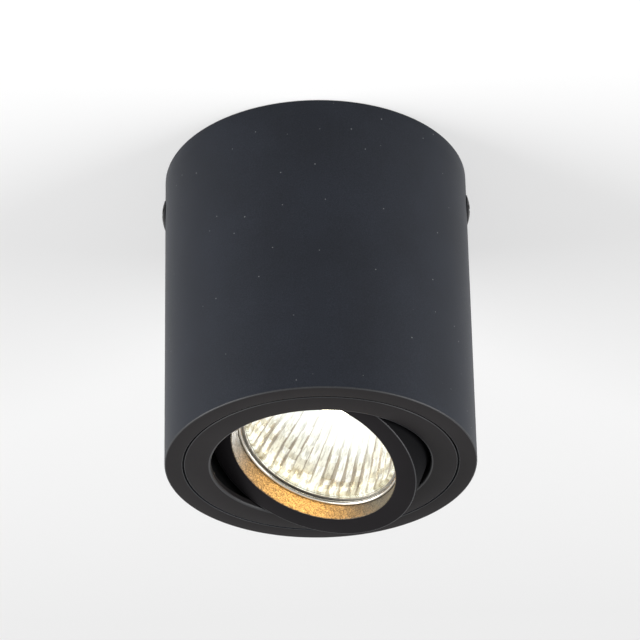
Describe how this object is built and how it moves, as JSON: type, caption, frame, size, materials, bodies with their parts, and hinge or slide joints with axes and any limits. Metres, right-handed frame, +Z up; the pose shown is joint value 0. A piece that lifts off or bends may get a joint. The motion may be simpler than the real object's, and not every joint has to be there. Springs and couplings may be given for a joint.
{
  "type": "surface mounted ceiling spotlight",
  "caption": "Cylindrical surface mounted ceiling spotlight with a flush swivelling trim ring and a tilting ring that holds a short reflector lamp with a bayonet pin cap.",
  "frame": {"origin": "centre of the ceiling face, in the plane of the strap's upper side and the drum's upper edge", "axes": "+Z up into the ceiling along the drum's axis, +X to the right side screw, -Y towards the camera; the lamp head stands tilted as pictured"},
  "size_m": [0.0954, 0.0934, 0.1111],
  "materials": {
    "housing": "fine matt anthracite powder coat on a turned aluminium tube",
    "trim": "fine matt anthracite powder coat on cast aluminium",
    "bracket": "plain zinc plated sheet steel",
    "black_screw": "satin black coated steel",
    "zinc_screw": "bright zinc plated steel",
    "spring_steel": "bare stainless spring strip",
    "clip_steel": "bright stainless spring wire",
    "bush": "matt moulded rubber",
    "washer": "plain moulded nylon",
    "terminal_block": "off-white moulded polyamide",
    "clamp_brass": "nickel-free turned brass",
    "pin_brass": "nickel plated brass",
    "tinned_copper": "tinned copper, pressed",
    "earth_sleeve": "green and yellow silicone sleeve",
    "live_sleeve": "brown silicone sleeve",
    "neutral_sleeve": "blue silicone sleeve",
    "cover_glass": "clear pressed glass",
    "reflector": "dichroic mirror coating on fluted pressed glass",
    "burner_glass": "clear quartz tube",
    "filament": "glowing coiled tungsten wire",
    "lamp_ceramic": "unglazed white steatite",
    "holder_ceramic": "unglazed off-white steatite"
  },
  "bodies": {
    "housing_body": {"housing": "housing", "mounting_bracket": "bracket", "side_screw_left": "black_screw", "side_screw_right": "black_screw", "cable_bush": "bush", "terminal_block": "terminal_block", "terminal_clamps": "clamp_brass", "terminal_screws": "zinc_screw", "terminal_fixing_screws": "zinc_screw", "earth_ring_terminal": "tinned_copper", "earth_washer": "zinc_screw", "earth_screw": "zinc_screw", "earth_lead": "earth_sleeve", "live_lead": "live_sleeve", "neutral_lead": "neutral_sleeve"},
    "trim_body": {"trim_ring": "trim", "retaining_spring_1": "spring_steel", "retaining_spring_2": "spring_steel", "retaining_spring_3": "spring_steel", "spring_rivets": "zinc_screw"},
    "head_body": {"lamp_ring": "trim", "pivot_screw_left": "zinc_screw", "pivot_screw_right": "zinc_screw", "pivot_washers": "washer", "lamp_clip": "clip_steel", "lamp_cover_glass": "cover_glass", "lamp_reflector": "reflector", "lamp_burner": "burner_glass", "lamp_filament": "filament", "lamp_base": "lamp_ceramic", "lamp_pins": "pin_brass", "lampholder_body": "holder_ceramic", "lampholder_cap": "holder_ceramic", "lampholder_contacts": "pin_brass", "lampholder_screws": "zinc_screw"}
  },
  "joints": [
    {"name": "trim_swivel", "type": "hinge", "parent": "housing_body", "child": "trim_body", "pos_m": [0, 0, -0.097], "axis": [0, 0, 1], "range_deg": [-175, 175], "deforming": ["live_lead", "neutral_lead"]},
    {"name": "lamp_tilt", "type": "hinge", "parent": "trim_body", "child": "head_body", "pos_m": [0, 0, -0.09195], "axis": [-0.5616, 0.8274, 0], "range_deg": [-47.72, 2.28], "deforming": ["live_lead", "neutral_lead"]}
  ]
}
